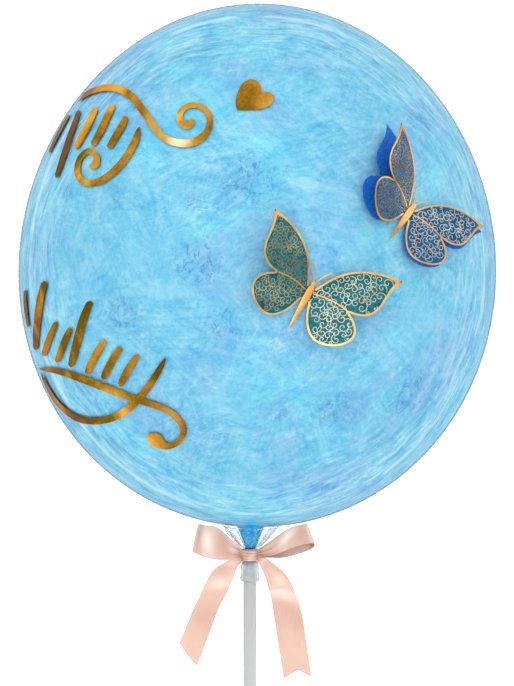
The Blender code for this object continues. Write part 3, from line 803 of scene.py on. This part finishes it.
def loop_gather(along, across):
    """Cosine folds at both ends of a loop, where it goes into the knot, and a slow wave between them."""
    near = np.exp(-((along / 0.13) ** 2)) + np.exp(-(((1 - along) / 0.13) ** 2))
    fold = near * np.cos(across * 2 * pi * 2.5) * np.clip(np.minimum(along, 1 - along) / 0.03, 0, 1)
    dent = np.sin(along * 2 * pi * 2.6 + 2.4 * across) * np.sin(pi * np.clip(along, 0, 1)) ** 2
    return fold + 1.1 * dent


def tail_gather(crest, spacing):
    """Cosine folds at the top of a tail, and a slow sine wave below them, rising where the crest says."""
    def gather(along, across):
        """Height of the folds and the wave over the plain strip."""
        near = np.exp(-((along / 0.22) ** 2)) * np.clip(along / 0.05, 0, 1)
        wave = 1.4 * np.sin((along - crest) / spacing * 2 * pi + 0.7 * (across - 0.5))
        below = np.clip(along * 3 - 1.0, 0, 1)
        return near * 1.1 * np.cos(across * 2 * pi * 2.0) + (1.2 * np.sin(across * pi) + wave) * below
    return gather


def knot_grid():
    """The ribbon wound round the neck: a ring of barrel shape, with cosine folds round it.

    The barrel's radius falls with the fourth power of the height from its middle.
    """
    angle = np.linspace(0, 2 * pi, 96, endpoint=False)[None, :]
    level = np.linspace(KNOT_LOW, KNOT_HIGH, 41)[:, None]
    middle, half = (KNOT_LOW + KNOT_HIGH) / 2, (KNOT_HIGH - KNOT_LOW) / 2
    barrel = KNOT_RADIUS - 1.6 * np.abs((level - middle) / half) ** 4
    crease = np.cos(level * 2.2 + 0.6 * np.sin(angle * 2))
    fold = 0.26 * crease + 0.12 * np.cos(level * 5.3 + angle)
    outer, inner = (
        np.stack([radius * np.cos(angle), level + 0 * angle, radius * np.sin(angle)], -1)
        for radius in (barrel + fold, KNOT_HOLE + 0 * level)
    )
    ring = np.concatenate([outer, inner[::-1]]) + KNOT
    turn = np.stack([angle * 0.008 + 0 * level, level * 0.001 + 0 * angle + 0.005], -1)
    uv = np.concatenate([turn, turn[::-1]]).reshape(-1, 2)
    # Painted highlight and painted shade along the knot's folds.
    painted_light = 0.30 * crease + 0.30 * np.cos(angle * 5 + level * 0.3)
    return ring, uv, np.concatenate([painted_light, painted_light[::-1]]).ravel()


def make_ribbon(mat):
    """One ribbon: two loops, two tails and the knot, as surfaces between pairs of smooth edges."""
    sheets = [
        ribbon_sheet(LEFT_LOOP, 120, 25, loop_gather, LEFT_LOOP_PAINTED_LIGHT, inner=1),
        ribbon_sheet(RIGHT_LOOP, 120, 25, loop_gather, RIGHT_LOOP_PAINTED_LIGHT, inner=0),
        ribbon_sheet(LEFT_TAIL, 80, 25, tail_gather(0.61, 0.30), LEFT_TAIL_PAINTED_LIGHT),
        ribbon_sheet(RIGHT_TAIL, 80, 25, tail_gather(0.74, 0.26), RIGHT_TAIL_PAINTED_LIGHT, RIGHT_NOTCH),
    ]
    ring, ring_uv, knot_painted_shading = knot_grid()
    grids = closed_ends([grid for grid, _, _ in sheets]) + [(ring, True, True, False)]
    obj = make("ribbon", grids, mat, sharp=50, layers=[uv for _, uv, _ in sheets] + [ring_uv])
    # Each point's painted highlight or painted shade, which the satin reads.
    painted_light = obj.data.attributes.new("painted_light", "FLOAT", "POINT")
    painted_bands = np.concatenate([tone for _, _, tone in sheets] + [knot_painted_shading])
    painted_light.data.foreach_set("value", painted_bands.astype(np.float32))
    return obj


# Butterflies

WING = [
    (3.2, 6.0), (7.8, 14.5), (13.4, 23.4), (20.8, 31.5), (29.4, 37.8), (38.6, 42.4), (48.2, 45.6),
    (57.6, 47.6), (67.3, 48.6), (63.0, 38.0), (61.6, 28.5), (60.6, 19.5), (57.4, 11.6), (51.6, 6.4),
    (44.4, 3.6), (37.8, 2.7), (44.5, -1.0), (49.8, -6.0), (52.4, -11.5), (52.0, -17.5), (48.5, -23.0),
    (43.5, -27.5), (37.0, -31.0), (30.0, -32.9), (23.5, -32.6), (17.5, -29.6), (11.8, -23.8),
    (7.4, -16.4), (4.6, -8.4), (3.2, -6.0),
]
WING_TIP = 8
WING_NOTCH = 15
RIB = [(4, 2), (14, 4), (26, 4.5), (37, 3.2)]
FEELER = [(0.8, 10.5), (2.4, 14.5), (5.0, 19.4), (9.6, 25.7)]
BODY = [
    (0.3, 12.4), (1.7, 11.6), (2.3, 9.6), (2.0, 7.8), (3.0, 5.0), (3.3, 0.0), (3.2, -6.0), (2.5, -14.0),
    (1.7, -24.0), (0.3, -35.3),
]
BODY_HALF_WIDTH = 3.2
WING_SPAN = 66.0
DROP_LENGTH = 480.0
PLATE_BASE = 0.05
FOIL_TOP = 0.40
CARD_TOP = 0.5
LINE_BASE = 0.36
RIM_TOP = 0.62
SCROLL_TOP = 0.58
SCROLL_MARGIN = 2.6
SCROLL_TURNS = 1.25
SCROLL_TAIL = 0.22

# Longitude, latitude, heading, folds of the left and right wing, all in degrees, size, and lift off the film
TEAL_POSE = (11.5, -5.4, 27.4, (16.8, 16.1), 1.03, 0.4)
BLUE_POSE = (37.0, 11.75, 44.8, (18.7, 12.0), 0.99, 1.4)
CARD_POSE = (37.0, 11.75, 47.3, (0.5, 9.0), 1.0, 0.4)


def wing_outline():
    """The wing's smooth outline, with its tip and its notch kept sharp."""
    fore, trail, hind = WING[:WING_TIP + 1], WING[WING_TIP:WING_NOTCH + 1], WING[WING_NOTCH:]
    return np.concatenate([even_line(fore, 60)[:-1], even_line(trail, 44)[:-1], even_line(hind, 80)])


def ball_spot(longitude, latitude):
    """A point of the bubble's surface, with its east, north and outward directions."""
    def place(lon, lat):
        along = HALF_LENGTH * np.sin(lat)
        radius = ball_radius(along)
        return lean(np.array([radius * np.sin(lon), along, radius * np.cos(lon)]))
    step = 0.0001
    spot = place(longitude, latitude)
    east = place(longitude + step, latitude) - spot
    north = place(longitude, latitude + step) - spot
    east /= np.linalg.norm(east)
    north /= np.linalg.norm(north)
    return spot, east, north, np.cross(east, north)


def perch(pose, flat, level):
    """Bends flat points (across, along) of a butterfly on its spot, at a level above its underside.

    The height is the lift and the wing's slope, less a parabola along the body, plus half a sine across.
    """
    longitude, latitude, heading, folds, size, lift = pose
    spot, east, north, out = ball_spot(radians(longitude), radians(latitude))
    turn = radians(heading)
    forward = north * cos(turn) + east * sin(turn)
    side = east * cos(turn) - north * sin(turn)
    u, v = flat[..., 0] * size, flat[..., 1] * size
    fold = np.radians(np.where(u > 0, folds[1], folds[0]))
    reach = np.maximum(0, np.abs(u) - BODY_HALF_WIDTH)
    across = (np.minimum(np.abs(u), BODY_HALF_WIDTH) + reach * np.cos(fold)) * np.sign(u)
    camber = 1.2 * np.sin(np.clip(reach / WING_SPAN, 0, 1) * pi)
    height = lift + level + reach * np.sin(fold) - v * v / DROP_LENGTH + camber
    return spot + forward * v[..., None] + side * across[..., None] + out * height[..., None]


def wing_fan(side, rings):
    """Points of one wing on rays from its root to its outline."""
    line = wing_outline()
    root = np.array([3.0, 0.0])
    share = np.linspace(0.0, 1, rings)[:, None, None] ** 0.7
    return (root + (line[None] - root) * share) * np.array([side, 1])


def slab(pose, flat, low, high):
    """A plate from a grid of flat points between two levels."""
    return np.concatenate([perch(pose, flat, high), perch(pose, flat[::-1], low)])


def square_to(lines):
    """Unit directions square to flat lines (..., steps, 2), on their left."""
    ahead = np.gradient(lines, axis=-2)
    ahead /= np.linalg.norm(ahead, axis=-1, keepdims=True) + 1e-9
    return np.stack([-ahead[..., 1], ahead[..., 0]], -1)


def wing_rim(pose, side):
    """The raised band on the inner side of a wing's outline, broadest at the tip by a bell curve."""
    line = wing_outline()
    from_tip = np.linalg.norm(line - np.array(WING[WING_TIP]), axis=1)
    width = (1.6 + 1.9 * np.exp(-((from_tip / 9.0) ** 2)))[:, None]
    outer = line * np.array([side, 1])
    inner = outer - square_to(outer) * width * side
    edges = ((outer, RIM_TOP), (inner, RIM_TOP), (inner, 0.0), (outer, 0.0))
    return np.stack([perch(pose, edge, level) for edge, level in edges], axis=1)


def strokes_on(pose, lines, half_width, low, high):
    """Closed thin strips along flat centre lines (count, steps, 2), tapered at both ends."""
    end = np.linspace(0, 1, lines.shape[1])
    taper = np.sqrt(np.clip(np.minimum(end, 1 - end) * 12, 0.25, 1))[None, :, None]
    off = square_to(lines) * half_width * taper
    edges = ((lines + off, high), (lines - off, high), (lines - off, low), (lines + off, low))
    return list(np.stack([perch(pose, edge, level) for edge, level in edges], axis=2))


def inside(points, outline):
    """Whether points are inside a closed outline, and how far they are from it."""
    x, y = points[:, 0, None], points[:, 1, None]
    ax, ay = outline[:, 0], outline[:, 1]
    bx, by = np.roll(ax, -1), np.roll(ay, -1)
    crossing = ((ay > y) != (by > y)) & (x < (bx - ax) * (y - ay) / (by - ay + 1e-12) + ax)
    gap = np.sqrt(((points[:, None] - outline[None]) ** 2).sum(-1)).min(1)
    return crossing.sum(1) % 2 == 1, gap


def scrolls(side, spacing, seed):
    """Curls packed over a wing: each is a spiral that winds in from a tail reaching to its neighbour.

    The spots are a shaken grid, and the radius falls evenly with the angle, faster in the tail.
    """
    rng = np.random.default_rng(seed)
    rows, columns = np.meshgrid(np.arange(-9, 12), np.arange(0, 20), indexing="ij")
    spots = np.stack([(columns + 0.5 * (rows % 2)) * spacing, rows * spacing * 0.87], -1).reshape(-1, 2)
    spots = spots + rng.uniform(-0.16, 0.16, spots.shape) * spacing
    within, gap = inside(spots, wing_outline())
    keep = within & (gap > SCROLL_MARGIN)
    spots, gap = spots[keep], gap[keep]
    run = np.linspace(0, 1, 26)[None, :]
    start = rng.uniform(0, 2 * pi, (len(spots), 1))
    hand = np.where(rng.random((len(spots), 1)) < 0.5, 1.0, -1.0)
    room = np.minimum(spacing * 0.50, gap - SCROLL_MARGIN / 2)[:, None]
    size = room * rng.uniform(0.85, 1.1, (len(spots), 1))
    curl = size * (1 - 0.80 * np.clip((run - SCROLL_TAIL) / (1 - SCROLL_TAIL), 0, 1))
    tail = size * (1 + 0.75 * np.clip((SCROLL_TAIL - run) / SCROLL_TAIL, 0, 1))
    radius = np.where(run > SCROLL_TAIL, curl, tail)
    angle = start + hand * (2 * pi * SCROLL_TURNS) * run
    lines = spots[:, None] + np.stack([radius * np.cos(angle), radius * np.sin(angle)], -1)
    return lines * np.array([side, 1])


def body_grid(pose):
    """The body: a tapering spindle from head to tail, a flattened circle in section."""
    outline = smooth_line(BODY, 48)
    half, v = outline[:, 0:1], outline[:, 1:2]
    angle = np.linspace(0, 2 * pi, 20, endpoint=False)[None, :]
    flat = np.stack([half * np.cos(angle), v + 0 * angle], -1)
    level = 0.9 + 0.9 * np.sin(angle) * np.sqrt(half / 3.3)
    longitude, latitude, heading, folds, size, lift = pose
    return perch((longitude, latitude, heading, (0.0, 0.0), size, lift), flat, level)


def feelers(pose):
    """Two thin feelers that curve away from the head."""
    right = smooth_line(FEELER, 26)
    return strokes_on(pose, np.stack([right, right * np.array([-1, 1])]), 0.45, 0.1, 0.7)


def make_wings(name, pose, top, mat):
    """A plate for each wing, up to a top level, its sides closed at the body."""
    plates = [slab(pose, wing_fan(side, 12), PLATE_BASE, top) for side in (-1, 1)]
    obj = make(name, [(plate, True, False, False) for plate in plates], mat, sharp=30)
    close_sides(obj.data)
    return obj


def make_butterfly(name, pose, foil, node_name, seed):
    """Foil wings with fine scrollwork, and a gold rim, ribs, body and feelers."""
    gold_lines, pieces = [body_grid(pose)], []
    # The left wings' curls take the gold with painted shade, the right wings' curls the gold with painted
    # light.
    for side, word, spacing, metal in ((-1, "left", 5.6, shaded_curl_gold), (1, "right", 6.6, lit_curl_gold)):
        rib = smooth_line(RIB, 26)[None] * np.array([side, 1])
        gold_lines += [wing_rim(pose, side)] + strokes_on(pose, rib, 0.50, LINE_BASE, RIM_TOP)
        curls = strokes_on(pose, scrolls(side, spacing, seed + side), 0.24, LINE_BASE, SCROLL_TOP)
        pieces.append(make(f"{name}_{word}_scrolls", closed_ends(curls), metal, sharp=35))
    pieces.append(make_wings(name + "_foil", pose, FOIL_TOP, foil))
    pieces.append(make(name + "_rims", closed_ends(gold_lines + feelers(pose)), rim_gold, sharp=35))
    for piece in pieces:
        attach(piece, "root")
        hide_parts(node_name)


# Foil strokes, flourishes and heart on the film

STRIP_THICKNESS = 0.25


def foil_strip(points, height, thick):
    """A closed thin strip on the film along (x, a, width) points, its ends rounded."""
    line = even_line(points, 14 * (len(points) - 1) + 12)
    end = np.linspace(0, 1, len(line))
    rounding = np.sqrt(np.clip(np.minimum(end, 1 - end) * 25, 0.05, 1))
    off = square_to(line[:, :2]) * (line[:, 2] / 2 * rounding)[:, None]
    left, right = line[:, :2] + off, line[:, :2] - off
    edges = ((left, height + thick), (right, height + thick), (right, height), (left, height))
    return np.stack([on_film(edge, level) for edge, level in edges], axis=1)


def drawn(points):
    """Turns (right, down, width) places of the front, in steps from its corner, into millimetres."""
    right, down, width = np.array(points, float).T
    return np.stack([(right - MIDDLE_RIGHT) * STEP, (MIDDLE_DOWN - down) * STEP, width * STEP], -1)


UPPER_FLOURISH = [
    (79.5, 102, 2.0), (85, 96.5, 4.0), (94, 91.5, 5.5), (107.8, 88.4, 6.5), (121, 90.5, 7.0),
    (132.7, 98, 7.5), (144.3, 112.5, 7.5), (156, 129.5, 7.0), (165, 138.5, 7.0), (176, 143, 7.5),
    (189, 143.8, 8.0), (200.5, 139, 7.5), (208.5, 129.5, 6.5), (209.5, 117, 6.0), (202.5, 108, 5.5),
    (192, 105.8, 5.5), (182.8, 110.5, 5.5), (180, 119, 6.0), (183.5, 125, 7.0), (189.5, 124.5, 11.0),
    (194.5, 120.5, 10.5),
]
LOWER_FLOURISH = [
    (39.8, 368.6, 4.0), (56, 370.5, 5.5), (74.6, 376, 7.0), (104, 387, 7.5), (132.7, 398.0, 7.0),
    (159, 406.5, 6.5), (175, 415.5, 6.5), (183.5, 429, 6.5), (179, 441, 6.0), (167, 446, 6.5),
    (156, 440, 14.0), (147.5, 434.5, 12.0),
]
UNDER_LOOP = [
    (165.8, 357.8, 4.0), (155, 377, 7.0), (141, 396, 7.5), (124.4, 411.5, 7.5), (102.8, 420, 7.0),
    (79.6, 418.5, 6.5), (60, 405, 4.5), (48, 387, 3.0), (42, 373, 2.0),
]
UPPER_CURL = [
    (140, 128, 5.0), (134, 145, 7.5), (121, 165, 7.5), (104, 179.5, 7.0), (88.5, 183.5, 6.5),
    (78.5, 175, 6.0), (80, 160, 5.5), (89, 151.5, 5.5), (97, 157, 6.0), (96, 165, 7.5), (90, 166.5, 9.0),
]
UPPER_STROKES = [
    [(50, 153, 2.0), (56, 140, 3.0), (63, 127, 3.0), (70, 115, 2.0)],
    [(57, 178, 4.0), (63, 160, 5.5), (71, 136, 5.5), (80, 111, 4.0)],
    [(76, 149, 5.0), (82, 138, 6.5), (90, 123, 6.5), (97, 108, 5.0)],
    [(93, 146, 5.5), (100, 134, 7.0), (107, 119, 7.0), (114, 105, 5.5)],
    [(109, 149, 5.5), (115, 139, 7.0), (122, 127, 7.0), (127, 117, 5.5)],
]
LOWER_STROKES = [
    [(28.8, 327, 2.0), (26.8, 314, 3.0), (25.6, 301, 3.0), (25.8, 290, 2.0)],
    [(36, 350, 5.0), (37, 329, 6.5), (40.5, 301, 7.0), (45.5, 281, 6.0)],
    [(44, 356, 4.5), (47, 346, 6.0), (52, 333, 6.0), (57, 322, 4.5)],
    [(57, 362, 5.0), (61, 352, 6.5), (66, 339, 6.5), (71, 328, 5.0)],
    [(71, 367, 6.0), (76, 347, 8.0), (83, 321, 8.0), (91, 301, 6.5)],
    [(87, 374, 5.5), (92, 363, 7.5), (99, 350, 7.5), (105, 340, 5.5)],
    [(103, 379, 5.5), (108, 369, 7.5), (115, 356, 7.5), (121, 347, 5.5)],
    [(120, 386, 5.5), (125, 376, 7.5), (132, 364, 7.5), (138, 355, 5.5)],
]


def make_foil(name, lines, mat, height=0.45):
    """Strips of thin foil that follow the film along the given lines."""
    strips = [foil_strip(drawn(line), height, STRIP_THICKNESS) for line in lines]
    return make(name, closed_ends(strips), mat, sharp=40)


HEART = [
    (237.2, 110.3), (235.6, 104.5), (236.9, 96.3), (239.7, 88.8), (243.9, 83.0), (251.3, 80.0),
    (258.0, 82.7), (260.8, 88.0), (261.5, 92.2), (266.2, 92.4), (271.2, 94.1), (274.2, 97.9),
    (272.9, 102.9), (269.6, 106.2), (263.0, 109.2), (253.0, 110.4), (244.7, 110.5), (237.2, 110.3),
]
HEART_MIDDLE = (252.5, 98.5)
HEART_DIP = 8
HEART_TOP = 0.7
HEART_BASE = 0.35


def make_heart(mat):
    """A heart of foil: rays from its middle to its outline, laid on the film between two heights."""
    *outline, middle = drawn([(right, down, 0) for right, down in HEART + [HEART_MIDDLE]])[:, :2]
    halves = outline[:HEART_DIP + 1], outline[HEART_DIP:]
    line = np.concatenate([smooth_line(half, 60)[:-1] for half in halves])
    share = np.linspace(0.02, 1, 14)[:, None, None]
    flat = middle + (line[None] - middle) * share
    grid = np.concatenate([on_film(flat, HEART_TOP), on_film(flat, HEART_BASE)[::-1]])
    return make("heart", closed_ends([grid]), mat, sharp=40)


# Everything in place

gold = gold_material("gold_foil", 0.26, FOIL_GOLD, painted_highlight=0.8)
rim_gold = gold_material("rim_gold", 0.30, RIM_GOLD)
# Lit and shaded copies of one gold, for the curls of the right and the left wings
lit_curl_gold = gold_material("lit_curl_gold", 0.45, LIT_CURL_GOLD)
shaded_curl_gold = gold_material("shaded_curl_gold", 0.35, SHADED_CURL_GOLD)
teal_foil = foil_material("teal_foil", (0.001, 0.075, 0.100), (0.010, 0.190, 0.220))
blue_foil = foil_material("blue_foil", (0.001, 0.050, 0.145), (0.006, 0.135, 0.320))
cup_plastic = plastic_material("cup_plastic", 0.18, (0.80, 0.82, 0.83), 0.60)
stick_plastic = plastic_material("stick_plastic", 0.32, (0.75, 0.75, 0.75), 0.45)

for piece, node_name, slot_name in (
    (make_film(film_material(), gathered_film_material()), "bubble", "clear_film"),
    (make_latex(latex_material()), None, None),
    (make_turned("cup_clear", cup_profile(), cup_plastic), "cup", "clear_plastic"),
    (make_turned("stick_tube", stick_profile(), stick_plastic), "stick", "clear_plastic"),
    (make_foil("upper_flourish", [UPPER_FLOURISH], gold), None, None),
    (make_foil("lower_flourish", [LOWER_FLOURISH], gold), None, None),
    (make_foil("under_loop", [UNDER_LOOP], gold, height=0.75), None, None),
    (make_foil("upper_curl", [UPPER_CURL], gold), None, None),
    (make_foil("upper_strokes", UPPER_STROKES, gold), None, None),
    (make_foil("lower_strokes", LOWER_STROKES, gold), None, None),
    (make_heart(gold), "heart_sticker", "gold_foil"),
    (make_wings("blue_card_wings", CARD_POSE, CARD_TOP, card_material()), "blue_butterfly_card", "blue_card"),
):
    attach(piece, "root")
    if node_name:
        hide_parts(node_name)
ribbon = make_ribbon(satin_material())
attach(ribbon, "root")
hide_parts("ribbon_bow")
make_butterfly("teal_wings", TEAL_POSE, teal_foil, "teal_butterfly", 5)
make_butterfly("blue_wings", BLUE_POSE, blue_foil, "blue_butterfly_filigree", 11)


# Floor, light and camera

FLOOR_HALF = 6.0
floor_mesh = bpy.data.meshes.new("floor")
corners = [(x * FLOOR_HALF, y * FLOOR_HALF, 0) for x, y in ((-1, -1), (1, -1), (1, 1), (-1, 1))]
floor_mesh.from_pydata(corners, [], [(0, 1, 2, 3)])
floor = bpy.data.objects.new("floor", floor_mesh)
bpy.context.collection.objects.link(floor)
floor_white = {"Base_Color": (0.95, 0.95, 0.95, 1), "Roughness": 0.9}
floor_mat = new_material("floor", Emission_Color=(1, 1, 1, 1), Emission_Strength=0.35, **floor_white)[0]
floor_mesh.materials.append(floor_mat)

world = bpy.data.worlds.new("studio")
bpy.context.scene.world = world
world.use_nodes = True
sky = world.node_tree
toward = node(sky, "ShaderNodeTexCoord").outputs["Generated"]

# Soft patches of light in the sky: direction, how narrow, and how bright
GLOWS = [
    ((0.0, -0.20, 0.98), 3.0, 0.30), ((0.10, 0.55, 0.83), 3.0, 0.42), ((-0.50, 0.69, 0.51), 50.0, 1.5),
    ((0.0, -0.82, 0.57), 60.0, 3.0), ((-0.24, -0.20, 0.95), 30.0, 2.4), ((0.75, -0.15, 0.65), 4.0, 0.26),
]


def glow(way, power, strength):
    """A patch of light round one direction: the cosine of the angle from it, to a power."""
    facing = measure(sky, "DOT_PRODUCT", toward, tuple(np.array(way) / np.linalg.norm(way)))
    return times(sky, calc(sky, "POWER", calc(sky, "MAXIMUM", facing, 0.0), power), strength)


sky_light = 0.80
for patch in GLOWS:
    sky_light = plus(sky, sky_light, glow(*patch))
sky.links.new(sky_light, sky.nodes["Background"].inputs["Strength"])
sky.nodes["Background"].inputs["Color"].default_value = (1, 1, 1, 1)

SENSOR = 24.0
AIM = (-0.5, -74.1, 0.0)
AIM_DISTANCE = 3000.9

camera_data = bpy.data.cameras.new("camera")
camera = bpy.data.objects.new("camera", camera_data)
bpy.context.collection.objects.link(camera)
bpy.context.scene.camera = camera
camera_data.sensor_fit = "VERTICAL"
camera_data.sensor_height = SENSOR
camera_data.lens = SENSOR * AIM_DISTANCE / (VIEW_STEPS * STEP)
eye = Vector(lay(np.array([0.0, 0.0, VIEW_DISTANCE])))
back = (eye - Vector(lay(np.array(AIM)))).normalized()
upward = back.cross(Vector((1, 0, 0))).normalized()
right = upward.cross(back)
turn = Matrix((right, upward, back)).transposed().to_4x4()
turn.translation = eye
camera.matrix_world = turn
bpy.context.scene.view_settings.view_transform = "Standard"
